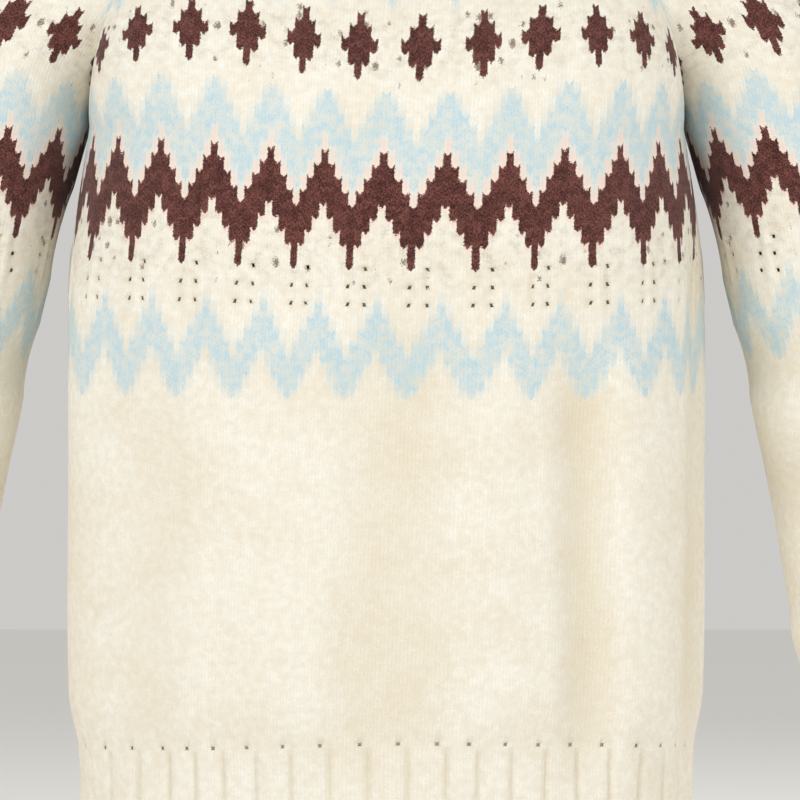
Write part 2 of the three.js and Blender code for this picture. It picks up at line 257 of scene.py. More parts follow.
class JumperSizes(bpy.types.PropertyGroup):
    """Gauge and cloth of the jumper"""

    stitch_width: measure("Stitch width", "Width of one stitch of the plain knitting", 0.00403)
    row_height: measure("Row height", "Height of one knitted row", 0.00238)
    wall: measure("Cloth", "Thickness of the plain knitting", 0.0024)
    rib_wall: measure("Ribbed cloth", "Thickness of the ribbing", 0.0028)
    rib_groove: measure("Rib groove", "Depth of the groove between two ribs", 0.0018)
    stitch_relief: measure("Stitch relief", "How far a stitch stands out", 0.0006)


class JumperColours(bpy.types.PropertyGroup):
    """Yarn colours of the jumper"""

    cream: yarn_colour("Cream", "Ground yarn", "#F2F0E7")
    straw: yarn_colour("Straw", "Darker fibres in the ground yarn", "#E6DDC9")
    maroon: yarn_colour("Maroon", "Dark contrast yarn", "#391C19")
    rust: yarn_colour("Rust", "Lighter fibres in the maroon yarn", "#7C4C45")
    blue: yarn_colour("Pale blue", "Light contrast yarn", "#BAD2DA")
    # Painted shade: the tint laid on the deepest hollows.
    painted_shade_tint: yarn_colour("Painted_shade", "Tint of the deepest hollows", "#F3EEE3")
    fleck: yarn_colour("Fleck", "Stray dark fibres", "#66503F")
    blush: yarn_colour("Blush", "Cream stitches with maroon fibres pulled through them", "#F0D2C4")


def millimetres(length):
    return length * 1000


def clamp(value, low, high):
    return min(high, max(low, value))


def smooth(value):
    part = clamp(value, 0, 1)
    return part * part * (3 - 2 * part)


def table_value(rows, key, column, at):
    """Reads one column of a table at a place between its rows, along a smooth curve."""
    last = len(rows) - 1
    above = next((index for index, row in enumerate(rows) if row[key] > at), last)
    low = int(clamp(above - 1, 0, last - 1))

    def slope(index):
        before, after = rows[max(index - 1, 0)], rows[min(index + 1, last)]
        return (after[column] - before[column]) / (after[key] - before[key])

    start, end = rows[low], rows[low + 1]
    span = end[key] - start[key]
    part = clamp((at - start[key]) / span, 0, 1)
    rest = 1 - part
    return (
        start[column] * rest * rest * (1 + 2 * part)
        + end[column] * part * part * (3 - 2 * part)
        + slope(low) * span * part * rest * rest
        - slope(low + 1) * span * part * part * rest
    )


# The hem's ribs lie this many millimetres off an even spacing.
RIB_DRIFT = table(
    "across drift",
    (-180, 0), (-130, 5), (-110, 1.5), (-90, -1.7), (-50, -3.1), (-30, -1.5), (-10, 0), (10, 2),
    (30, 3.5), (50, 1), (90, 0), (180, 0),
)

SECTION_SAMPLES = 600


def even_turns():
    """Shares of the cloth's length at even turns along a quarter of the body's section."""
    section = next(section for section in BODY_SECTIONS if section["height"] == GAUGE_HEIGHT)
    power = 2 / BODY_SQUARENESS
    lengths = [0.0]
    before = (0.0, section["front"])
    for sample in range(1, SECTION_SAMPLES + 1):
        turn = math.pi / 2 * sample / SECTION_SAMPLES
        here = (
            section["half_width"] * math.sin(turn) ** power,
            section["front"] * max(math.cos(turn), 0) ** power,
        )
        lengths.append(lengths[-1] + math.dist(here, before))
        before = here
    return [length / lengths[-1] for length in lengths]


EVEN_TURNS = even_turns()


def quarter_turn(share):
    """The turn along a quarter section that lies at a share of its length."""
    low = max(bisect.bisect_left(EVEN_TURNS, share), 1) - 1
    part = (share - EVEN_TURNS[low]) / (EVEN_TURNS[low + 1] - EVEN_TURNS[low])
    return math.pi / 2 * (low + part) / SECTION_SAMPLES


def row_height_at(sizes, is_back, across, row):
    """Height above the hem of a knitted row; across runs from -1 to 1 between the side seams."""
    rise = table_value(ROW_RISE, "row", "rise", row)
    if is_back:
        share = 1 - BACK_RISE_SHARE * math.cos(math.pi / 2 * across) ** 2
    else:
        share = table_value(FRONT_RISE, "across", "share", across)
    return HEM_RIB + millimetres(sizes.row_height) * row + rise * share


def body_point(is_back, across, height):
    power = 2 / BODY_SQUARENESS
    turn = quarter_turn(min(abs(across), 1))
    half_width = table_value(BODY_SECTIONS, "height", "half_width", height)
    depth = table_value(BODY_SECTIONS, "height", "back" if is_back else "front", height)
    x = math.copysign(half_width * math.sin(turn) ** power, across)
    y = (1 if is_back else -1) * depth * max(math.cos(turn), 0) ** power
    return Vector((x, y, height))


def ring_point(ring, turn):
    """A point of a tilted ring round the neck, by its turn from the centre front."""
    heights = ring["heights"]
    middle = (heights["front"] + heights["back"]) / 2
    even = (middle + heights["side"]) / 2
    tilt = (heights["front"] - heights["back"]) / 2
    height = even + tilt * math.cos(turn) + (middle - heights["side"]) / 2 * math.cos(2 * turn)
    depth = ring["front"] if math.cos(turn) > 0 else ring["back"]
    return Vector((ring["half_width"] * math.sin(turn), -depth * math.cos(turn), height))


def bezier(stops, part):
    rest = 1 - part
    weights = (rest ** 3, 3 * rest * rest * part, 3 * rest * part * part, part ** 3)
    total = Vector((0, 0, 0))
    for stop, weight in zip(stops, weights):
        total += stop * weight
    return total


def panel_stops(sizes, is_back, across):
    """The four stops that lead a column of the front or back from the armpits' row to the neck."""
    start = body_point(is_back, across, row_height_at(sizes, is_back, across, ARMPIT_ROW))
    reach = CHEST_RING["back"] if is_back else -CHEST_RING["front"]
    share = min(abs(start.x) / CHEST_RING["half_width"], 1)
    depth = reach * (1 - share ** CHEST_RING["squareness"]) ** (1 / CHEST_RING["squareness"])
    lift = CHEST_LIFT["centre"] + (CHEST_LIFT["edge"] - CHEST_LIFT["centre"]) * across * across
    stops = [start, Vector((start.x, depth, start.z + lift))]
    for ring in (SHOULDER_RING, NECK_RING):
        turn = math.radians(ring["edge_turn"]) * across
        stops.append(ring_point(ring, math.pi - turn if is_back else turn))
    return stops


def fold_offset(folds, across, height):
    total = 0
    for fold in folds:
        middle = fold["across"] + fold["drift"] * (height - fold["low"]) / (fold["high"] - fold["low"])
        off = (across * SEAM_TO_CENTRE - middle) / fold["spread"]
        if abs(off) < 1:
            ends = smooth((height - fold["low"]) / FOLD_FADE + 0.5)
            ends *= smooth((fold["high"] - height) / FOLD_FADE + 0.5)
            total += fold["depth"] * ends * (1 - off * off) ** 2
    return total


def armpit_height(sizes):
    return row_height_at(sizes, False, 1, ARMPIT_ROW)


def tube_point(section, around, height):
    """A point of an oval section of the left arm, by its share of the way round."""
    turn = 2 * math.pi * around
    x = section["out"] - section["half_width"] * math.cos(turn)
    return Vector((x, section["back"] - section["half_depth"] * math.sin(turn), height))


def sleeve_point(sizes, around, down):
    """A point of the left sleeve; around is 0 at the body, 0.25 in front and 0.5 outside."""
    section = {size: table_value(SLEEVE_SECTIONS, "down", size, down) for size in CUFF_END}
    return tube_point(section, around, armpit_height(sizes) - down)


def cap_stops(sizes, around):
    """The four stops that lead a column of the left sleeve from the armpit to the neck."""
    edge = CHEST_RING["edge_turn"]
    chest = math.radians(edge + (180 - 2 * edge) * around)
    power = 2 / CHEST_RING["squareness"]
    depth = CHEST_RING["front"] if math.cos(chest) > 0 else CHEST_RING["back"]
    lift = CHEST_LIFT["edge"] + (CHEST_LIFT["shoulder"] - CHEST_LIFT["edge"]) * math.sin(math.pi * around)
    stops = [
        sleeve_point(sizes, around, 0),
        Vector((
            CHEST_RING["half_width"] * math.sin(chest) ** power,
            -math.copysign(depth * abs(math.cos(chest)) ** power, math.cos(chest)),
            armpit_height(sizes) + lift,
        )),
    ]
    for ring in (SHOULDER_RING, NECK_RING):
        turn = math.radians(ring["edge_turn"] + (180 - 2 * ring["edge_turn"]) * around)
        stops.append(ring_point(ring, turn))
    return stops


def sleeve_fold_offset(around, down):
    total = 0
    for fold in SLEEVE_FOLDS:
        turned = abs(around - fold["around"])
        off = min(turned, 1 - turned) / fold["reach"]
        along = (down - fold["down"]) / fold["spread"]
        total += fold["depth"] * max(0, 1 - off * off) * max(0, 1 - along * along)
    return total


def outward_normals(rows, closed, facing):
    """The outward direction at each point of a sheet, from its neighbours."""
    normals = []
    last = len(rows) - 1
    columns = len(rows[0]) - 1
    for index, row in enumerate(rows):
        above, below = rows[min(index + 1, last)], rows[max(index - 1, 0)]
        line = []
        for column in range(columns + 1):
            if closed[index]:
                right, left = row[(column + 1) % columns], row[(column - 1) % columns]
            else:
                right, left = row[min(column + 1, columns)], row[max(column - 1, 0)]
            line.append((right - left).cross(above[column] - below[column]).normalized() * facing)
        normals.append(line)
    return normals


def empty_sheet():
    """A sheet of cloth to be filled row by row: its points in millimetres, how far the folds and the
    fine relief move them out, their wale and row, which rows are closed, and the cells cut out."""
    return {"points": [], "folds": [], "relief": [], "stitches": [], "closed": [], "holes": set()}


def sink_holes(sheet):
    """Dips the outside of the cloth at the corners of each hole."""
    for row, column in sheet["holes"]:
        for line in sheet["relief"][row:row + 2]:
            line[column] -= HOLE_DIP
            line[column + 1] -= HOLE_DIP


def knit_shell(name, sheet, wall, facing=1, mirrored=False):
    """Makes a closed mesh of cloth from a sheet, as thick as its wall."""
    rows, closed = sheet["points"], sheet["closed"]
    columns = len(rows[0]) - 1
    normals = outward_normals(rows, closed, facing)
    numbers, outside, inside, hollows = [], [], [], []
    for index, row in enumerate(rows):
        kept = columns if closed[index] else columns + 1
        first = len(outside)
        numbers.append([first + column % kept for column in range(columns + 1)])
        for column in range(kept):
            normal = normals[index][column]
            fold, relief = sheet["folds"][index][column], sheet["relief"][index][column]
            level = Vector((normal.x, normal.y, 0))
            base = row[column] + level.normalized() * fold
            outside.append(base + normal * relief)
            inside.append(base - normal * wall)
            # How deep each point lies in a fold or in low relief, for the painted shade of the hollows.
            hollows.append(clamp(-fold / FULL_HOLLOW - RELIEF_HOLLOW * min(relief, 0), 0, 1))
    count = len(outside)
    flip = (facing < 0) != mirrored
    faces, places, edges = [], [], {}
    for row in range(len(rows) - 1):
        for column in range(columns):
            if (row, column) in sheet["holes"]:
                continue
            spots = [(row, column), (row, column + 1), (row + 1, column + 1), (row + 1, column)]
            if flip:
                spots.reverse()
            corners = [numbers[r][c] for r, c in spots]
            faces.append(corners)
            places.append(spots)
            faces.append([count + corner for corner in reversed(corners)])
            places.append(spots[::-1])
            for step in range(4):
                start, end = corners[step], corners[(step + 1) % 4]
                if edges.pop((end, start), None) is None:
                    edges[start, end] = (spots[step], spots[(step + 1) % 4])
    rims = set()
    for (start, end), (from_spot, to_spot) in edges.items():
        faces.append([end, start, count + start, count + end])
        places.append([to_spot, from_spot, from_spot, to_spot])
        if on_outer_edge(sheet, from_spot) and on_outer_edge(sheet, to_spot):
            rims.update((frozenset((start, end)), frozenset((count + start, count + end))))
    side = -1 if mirrored else 1
    vertices = [
        (side * p.x / 1000, p.y / 1000, (p.z - SHOULDER_HEIGHT) / 1000) for p in outside + inside
    ]
    mesh = bpy.data.meshes.new(name)
    mesh.from_pydata(vertices, [], faces)
    layer = mesh.uv_layers.new(name="stitches")
    flat = []
    for spots in places:
        for row, column in spots:
            flat.extend(sheet["stitches"][row][column])
    layer.data.foreach_set("uv", flat)
    # The depth of each point in a hollow, which drives the painted shade.
    depth = mesh.attributes.new("hollow", "FLOAT", "POINT")
    depth.data.foreach_set("value", hollows * 2)
    mesh.polygons.foreach_set("use_smooth", [True] * len(mesh.polygons))
    sharp = mesh.attributes.new("sharp_edge", "BOOLEAN", "EDGE")
    sharp.data.foreach_set("value", [frozenset(edge.vertices) in rims for edge in mesh.edges])
    mesh.validate()
    piece = bpy.data.objects.new(name, mesh)
    bpy.context.scene.collection.objects.link(piece)
    return piece


def cloth_area(sheet):
    """Area of a sheet in square metres, before its folds."""
    total = 0
    rows = sheet["points"]
    for lower, upper in zip(rows, rows[1:]):
        for column in range(len(lower) - 1):
            across = upper[column + 1] - lower[column]
            total += across.cross(upper[column] - lower[column + 1]).length / 2
    return total * 1e-6


def on_outer_edge(sheet, spot):
    """Whether a spot of a sheet lies on its outer edge, and not round a hole."""
    row, column = spot
    at_side = column in (0, len(sheet["points"][0]) - 1) and not sheet["closed"][row]
    return row in (0, len(sheet["points"]) - 1) or at_side


def knit_piece(context, name, node, sheet, cut, banded=True, facing=1, mirrored=False):
    """Makes a shell of wool in place of its node; the area of its cloth is worked out against its cut but
    not kept.
    """
    sizes = context.scene.jumper_sizes
    wall = millimetres(sizes.wall if banded else sizes.rib_wall)
    piece = knit_shell(name, sheet, wall, facing, mirrored)
    piece.data.materials.append(wool_material(context, banded))
    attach(piece, "root")
    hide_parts(node)
    min(cloth_area(sheet), cut[0] * cut[1])


def add(tree, kind, links=(), **settings):
    """Adds a shader node of a kind, with its settings. Links gives each input a value, a socket, or
    a node, whose shown output it takes."""
    made = tree.nodes.new("ShaderNode" + kind)
    for name, value in settings.items():
        setattr(made, name, value)
    for socket, source in dict(links).items():
        if isinstance(source, bpy.types.Node):
            source = next(output for output in source.outputs if output.enabled)
        if isinstance(source, bpy.types.NodeSocket):
            tree.links.new(source, made.inputs[socket])
        else:
            made.inputs[socket].default_value = source
    return made


# Rows of rise from a stitch's middle to its side, per wale: the slant of its two legs.
LEG_SLANT = 1.7

# Zigzags of the chart, each by its middle row at a peak and half its height in rows. A band climbs
# to its peaks where the first wale of the repeat lies, or hangs from there. No row of it lies
# outside its low and high, which blunts its tips.
BLUE_BANDS = [
    {"middle": 93.5, "half": 6.0, "climbs": True, "low": 77.5, "high": 111.5},
    {"middle": 141.5, "half": 6.0, "climbs": True, "low": 111.5, "high": 145.5},
    {"middle": 171.5, "half": 6.0, "climbs": False, "low": 145.5, "high": 200.5},
]
MAROON_BAND = {"middle": 126.5, "half": 6.0}
MAROON_TIP = {"middle": 119.5, "half": 1.0}
BLUSH_BAND = {"middle": 127.5, "half": 8.0}
DIAMOND_ROW = 156.0
# Rows at the middle of the two stretches that maroon yarn is carried behind.
CARRIED_MIDDLES = (112.0, 157.0)
# The soft blue yarn blooms past its stitches, in layers wider or narrower by some rows.
BLOOM = [{"wider": -1.2, "cover": 0.45}, {"wider": 0.0, "cover": 0.3}, {"wider": 1.6, "cover": 0.25}]


def chart_masks(tree, wale, row):
    """Where the maroon, the blue and the blushing cream lie, from whole wale and row numbers. Each
    zigzag moves three rows for each wale, and so do the sides of the diamonds."""
    peak = add(tree, "Math", {0: wale, 1: REPEAT / 2}, operation="PINGPONG")
    slope = add(tree, "Math", {0: peak, 1: 3.0}, operation="MULTIPLY")
    rising = add(tree, "Math", {0: row, 1: slope}, operation="ADD")
    falling = add(tree, "Math", {0: row, 1: slope}, operation="SUBTRACT")
    blue = 0.0
    for band in BLUE_BANDS:
        layers = 0.0
        for layer in BLOOM:
            inside = add(tree, "Math", {
                0: rising if band["climbs"] else falling, 1: band["middle"],
                2: band["half"] + layer["wider"],
            }, operation="COMPARE")
            layers = add(tree, "Math", {0: inside, 1: layer["cover"], 2: layers}, operation="MULTIPLY_ADD")
        within = add(tree, "Math", {
            0: row, 1: (band["low"] + band["high"]) / 2, 2: (band["high"] - band["low"]) / 2,
        }, operation="COMPARE")
        blue = add(tree, "Math", {0: layers, 1: within, 2: blue}, operation="MULTIPLY_ADD")
    # The maroon zigzag ends in a tip one wale wide below each valley, and the cream beside it blushes.
    zigzag, tip, blush = (
        add(tree, "Math", {0: rising, 1: band["middle"], 2: band["half"]}, operation="COMPARE")
        for band in (MAROON_BAND, MAROON_TIP, BLUSH_BAND)
    )
    valley = add(tree, "Math", {0: peak, 1: REPEAT / 2, 2: 0.5}, operation="COMPARE")
    tip = add(tree, "Math", {0: tip, 1: valley}, operation="MULTIPLY")
    maroon = add(tree, "Math", {0: zigzag, 1: tip}, operation="MAXIMUM")
    # Diamonds five wales wide at their middle row, with three rows to each wale.
    off = add(tree, "Math", {0: row, 1: DIAMOND_ROW}, operation="SUBTRACT")
    off = add(tree, "Math", {0: off}, operation="ABSOLUTE")
    off = add(tree, "Math", {0: off, 1: 1 / 3, 2: 1 / 3}, operation="MULTIPLY_ADD")
    off = add(tree, "Math", {0: off}, operation="FLOOR")
    off = add(tree, "Math", {0: off, 1: peak}, operation="SUBTRACT")
    diamond = add(tree, "Math", {0: off, 1: -1.5}, operation="LESS_THAN")
    maroon = add(tree, "Math", {0: maroon, 1: diamond}, operation="MAXIMUM")
    return maroon, blue, blush


def carried_rows(tree, row):
    """The rows where maroon yarn is carried behind the cream, by the zigzag and by the diamonds."""
    carried = 0.0
    for middle in CARRIED_MIDDLES:
        away = add(tree, "Math", {0: row, 1: middle}, operation="SUBTRACT")
        away = add(tree, "Math", {0: away}, operation="ABSOLUTE")
        near = add(tree, "MapRange", {0: away, 1: 5.0, 2: 12.0, 3: 1.0, 4: 0.0})
        carried = add(tree, "Math", {0: near, 1: carried}, operation="ADD")
    return carried


def float_ghosts(tree, place, carried, noise):
    """Dark floats show faintly through the cream."""
    stretched = add(tree, "VectorMath", {0: place, 1: (0.55, 0.42, 0.0)}, operation="MULTIPLY")
    patches = add(tree, "TexNoise", {"Vector": stretched, "Scale": 1.0, "Detail": 4.0},
                  noise_dimensions="2D")
    patches = add(tree, "Math", {0: patches, 1: noise}, operation="MULTIPLY")
    patches = add(tree, "MapRange", {0: patches, 1: 0.24, 2: 0.42, 3: 0.0, 4: 0.26})
    return add(tree, "Math", {0: patches, 1: carried}, operation="MULTIPLY")


def stray_flecks(tree, place, carried, noise):
    """Short dark fibres caught in the cloth, mostly near the dark yarn."""
    frayed = add(tree, "VectorMath", {0: noise, 1: (1.1, 3.0, 0.0), 2: place}, operation="MULTIPLY_ADD")
    frayed = add(tree, "VectorMath", {0: frayed, 1: (0.62, 0.3, 0.0)}, operation="MULTIPLY")
    cells = add(tree, "TexVoronoi", {"Vector": frayed, "Scale": 1.0, "Randomness": 1.0},
                voronoi_dimensions="2D")
    chance = add(tree, "SeparateXYZ", {0: cells.outputs["Color"]})
    needed = add(tree, "MapRange", {0: carried, 1: 0.0, 2: 1.0, 3: 0.95, 4: 0.71})
    size = add(tree, "Math", {0: chance, 1: needed}, operation="SUBTRACT")
    size = add(tree, "Math", {0: size, 1: 1.2}, operation="MULTIPLY")
    ragged = add(tree, "SeparateXYZ", {0: noise})
    size = add(tree, "Math", {0: ragged, 1: 0.35, 2: size}, operation="MULTIPLY_ADD")
    depth = add(tree, "Math", {0: size, 1: cells.outputs["Distance"]}, operation="SUBTRACT")
    return add(tree, "MapRange", {0: depth, 1: 0.0, 2: 0.1, 3: 0.0, 4: 0.8})


def hump(tree, value, scale, drop):
    """1 where the scaled value is 1, and lower by drop where it is 0 or 2."""
    away = add(tree, "Math", {0: value, 1: scale, 2: -1.0}, operation="MULTIPLY_ADD")
    away = add(tree, "Math", {0: away, 1: away}, operation="MULTIPLY")
    return add(tree, "Math", {0: away, 1: -drop, 2: 1.0}, operation="MULTIPLY_ADD")


def knitted_wool(name, sizes, colours, with_bands):
    """Lambswool: spun from short soft fibres, knitted and lightly felted in the wash. The eye gets
    narrow upright wales of small slanting legs, blurred by a fine halo, with no shine."""
    material = bpy.data.materials.new(name)
    material.use_nodes = True
    tree = material.node_tree
    tree.nodes.clear()
    place = add(tree, "UVMap", uv_map="stitches")
    solid = add(tree, "TexCoord").outputs["Object"]

    # Fibres about 0.7 mm apart blur the stitches' edges.
    fibre = add(tree, "TexNoise", {"Vector": solid, "Scale": 1400.0, "Detail": 2.0})
    shake = add(tree, "VectorMath", {0: fibre.outputs["Color"], 1: (0.5, 0.5, 0.5)}, operation="SUBTRACT")
    blurred = add(tree, "VectorMath", {0: shake, 1: (0.6, 1.8, 0.0), 2: place}, operation="MULTIPLY_ADD")

    # A stitch is two legs that rise from its middle to its sides.
    split = add(tree, "SeparateXYZ", {0: blurred})
    wale = add(tree, "Math", {0: split.outputs[0]}, operation="ROUND")
    off = add(tree, "Math", {0: split.outputs[0], 1: wale}, operation="SUBTRACT")
    off = add(tree, "Math", {0: off}, operation="ABSOLUTE")
    rise = add(tree, "Math", {0: off, 1: -LEG_SLANT, 2: split.outputs[1]}, operation="MULTIPLY_ADD")
    row = add(tree, "Math", {0: rise}, operation="FLOOR")
    along = add(tree, "Math", {0: rise}, operation="FRACT")

    # Height of the legs: full in their middle, low between wales and between rows.
    leg = hump(tree, off, 4.0, 1.0)
    bead = hump(tree, along, 2.0, 0.55)
    height = add(tree, "Math", {0: leg, 1: bead}, operation="MULTIPLY")

    # Felting fills the stitches in here and there, so they show more in some places.
    cloud = add(tree, "TexNoise", {"Vector": solid, "Scale": 220.0, "Detail": 3.0})
    clear = add(tree, "MapRange", {0: cloud, 1: 0.35, 2: 0.65, 3: 0.25, 4: 1.0})
    height = add(tree, "Math", {0: height, 1: clear}, operation="MULTIPLY")

    # Ground yarn: cream with straw fibres and slow changes of shade.
    grain = add(tree, "Math", {0: fibre, 1: cloud}, operation="MULTIPLY")
    grain = add(tree, "MapRange", {0: grain, 1: 0.12, 2: 0.42, 3: 0.75, 4: 0.0})
    patch = add(tree, "TexNoise", {"Vector": solid, "Scale": 26.0, "Detail": 3.0})
    patch = add(tree, "MapRange", {0: patch, 1: 0.4, 2: 0.7, 3: 0.0, 4: 0.35})
    grain = add(tree, "Math", {0: grain, 1: patch}, operation="ADD")
    colour = add(tree, "Mix", {0: grain, 6: (*colours.cream, 1), 7: (*colours.straw, 1)}, data_type="RGBA")
    # Painted shade: the hollows of the folds and the low relief get a darker, warmer tint, unevenly.
    hollow = add(tree, "Attribute", attribute_name="hollow").outputs["Fac"]
    painted_shade_share = add(tree, "MapRange", {0: cloud, 1: 0.3, 2: 0.7, 3: 0.75, 4: 1.25})
    painted_shade_share = add(tree, "Math", {0: painted_shade_share, 1: hollow}, operation="MULTIPLY")
    colour = add(tree, "Mix", {0: painted_shade_share, 6: colour, 7: (*colours.painted_shade_tint, 1)},
                 data_type="RGBA", blend_type="MULTIPLY")
    if with_bands:
        maroon, blue, blush = chart_masks(tree, wale, row)
        carried = carried_rows(tree, split.outputs[1])
        ghosts = float_ghosts(tree, place, carried, fibre)
        flecks = stray_flecks(tree, place, carried, shake)
        # Each stitch of dyed yarn is a little lighter or darker at random, and painted lighter at the
        # middle of its raised legs and darker towards their ends: painted light and shade.
        stitch = add(tree, "CombineXYZ", {0: wale, 1: row})
        stitch = add(tree, "TexWhiteNoise", {"Vector": stitch}, noise_dimensions="2D")
        tone_and_leg_shade = add(tree, "Math", {0: stitch, 1: 0.18, 2: fibre}, operation="MULTIPLY_ADD")
        tone_and_leg_shade = add(tree, "Math", {0: bead, 1: 0.3, 2: tone_and_leg_shade}, operation="MULTIPLY_ADD")
        heather_and_leg_shade = add(tree, "MapRange", {0: tone_and_leg_shade, 1: 0.68, 2: 1.06, 3: 0.0, 4: 1.0})
        heather_and_leg_shade = add(tree, "Mix", {0: heather_and_leg_shade, 6: (*colours.maroon, 1), 7: (*colours.rust, 1)},
                      data_type="RGBA")
        # The blue's cover follows the felting and the same stitch tone, painted leg shading included.
        frost = add(tree, "Math", {0: cloud, 1: 1.1, 2: tone_and_leg_shade}, operation="MULTIPLY_ADD")
        frost = add(tree, "MapRange", {0: frost, 1: 1.08, 2: 1.66, 3: 0.2, 4: 1.1})
        blue = add(tree, "Math", {0: blue, 1: frost}, operation="MULTIPLY")
        blush = add(tree, "Math", {0: blush, 1: 0.6}, operation="MULTIPLY")
        layers = (
            (blush, (*colours.blush, 1)), (blue, (*colours.blue, 1)),
            (ghosts, (*colours.fleck, 1)), (flecks, (*colours.fleck, 1)), (maroon, heather_and_leg_shade),
        )
        for cover, yarn in layers:
            colour = add(tree, "Mix", {0: cover, 6: colour, 7: yarn}, data_type="RGBA")
    # Less light reaches down between the legs.
    shade = add(tree, "MapRange", {0: height, 1: 0.0, 2: 0.8, 3: 0.93, 4: 1.0})
    shade = add(tree, "CombineXYZ", {0: shade, 1: shade, 2: shade})
    colour = add(tree, "Mix", {0: 1.0, 6: colour, 7: shade}, data_type="RGBA", blend_type="MULTIPLY")

    fuzz = add(tree, "Math", {0: fibre, 1: 0.7, 2: height}, operation="MULTIPLY_ADD")
    bump = add(tree, "Bump", {"Height": fuzz, "Strength": 0.35, "Distance": sizes.stitch_relief})
    wool = add(tree, "BsdfPrincipled", {
        "Base Color": colour, "Normal": bump, "Roughness": 0.95, "IOR": 1.45,
        "Specular IOR Level": 0.1, "Sheen Weight": 0.12, "Sheen Roughness": 0.6,
    })
    add(tree, "OutputMaterial", {0: wool})
    return material


def wool_material(context, with_bands):
    name = "lambswool_stranded" if with_bands else "lambswool_ribbed"
    found = bpy.data.materials.get(name)
    scene = context.scene
    return found or knitted_wool(name, scene.jumper_sizes, scene.jumper_colours, with_bands)


def row_lines(low, high):
    """Knitted rows that the shells have a line of points on: every third, and round each hole."""
    lines = {float(row) for row in range(math.ceil(low / GRID_ROWS) * GRID_ROWS, high + 1, GRID_ROWS)}
    lines.add(low)
    for row in EYELET_ROWS:
        top = row + EYELET_HEIGHT
        lines.update((row - HOLE_MARGIN, float(row), top, top + HOLE_MARGIN))
    return sorted(lines)


def wales_from(place, wale):
    """Wales from the nearest such place in a repeat, less than 0 to its left."""
    return (wale - place + REPEAT / 2) % REPEAT - REPEAT / 2


def is_eyelet(wale_low, wale_high, row):
    """Whether the cell between two wale numbers, whose lower line is a row, is a hole."""
    middle = (wale_low + wale_high) / 2
    half = (wale_high - wale_low) / 2
    return any(
        row in eyelet["rows"] and -half <= wales_from(eyelet["wale"], middle) < half for eyelet in EYELETS
    )


def openwork_relief(wale, row):
    """The raised wale between the holes, and the dip beside it."""
    band = smooth((row - OPENWORK_START) / OPENWORK_FADE)
    band *= smooth((OPENWORK_TOP + 1 - row) / OPENWORK_FADE)
    off = abs(wales_from(RAISED_WALE, wale))
    raised = RAISED_RELIEF * math.exp(-(off / 0.5) ** 2)
    beside = BESIDE_RELIEF * math.exp(-((off - 1) / 0.5) ** 2)
    return band * (raised + beside)


def rib_relief(sizes, off, pitch):
    """Relief of ribbing at a distance from the nearest groove."""
    half = pitch / 2
    crown = RIB_CROWN * (1 - ((half - off) / half) ** 2)
    return crown - millimetres(sizes.rib_groove) * math.exp(-(off / GROOVE_SPREAD) ** 2)


def wale_place(wale, height, is_back):
    """Millimetres across a panel at which a wale lies."""
    side = wale / HALF_PANEL_WALES
    lean = WALE_LEAN * (height - LEAN_HEIGHT)
    shift = -lean if is_back else lean + FRONT_SHIFT + table_value(WALE_DRIFT, "wale", "drift", wale)
    return SEAM_TO_CENTRE * side + (1 - side ** 4) * shift


def ribs_across(across, pitch):
    """The number of a place across the hem in ribs: a whole number is a groove."""
    return (across - table_value(RIB_DRIFT, "across", "drift", across)) / pitch - 0.5


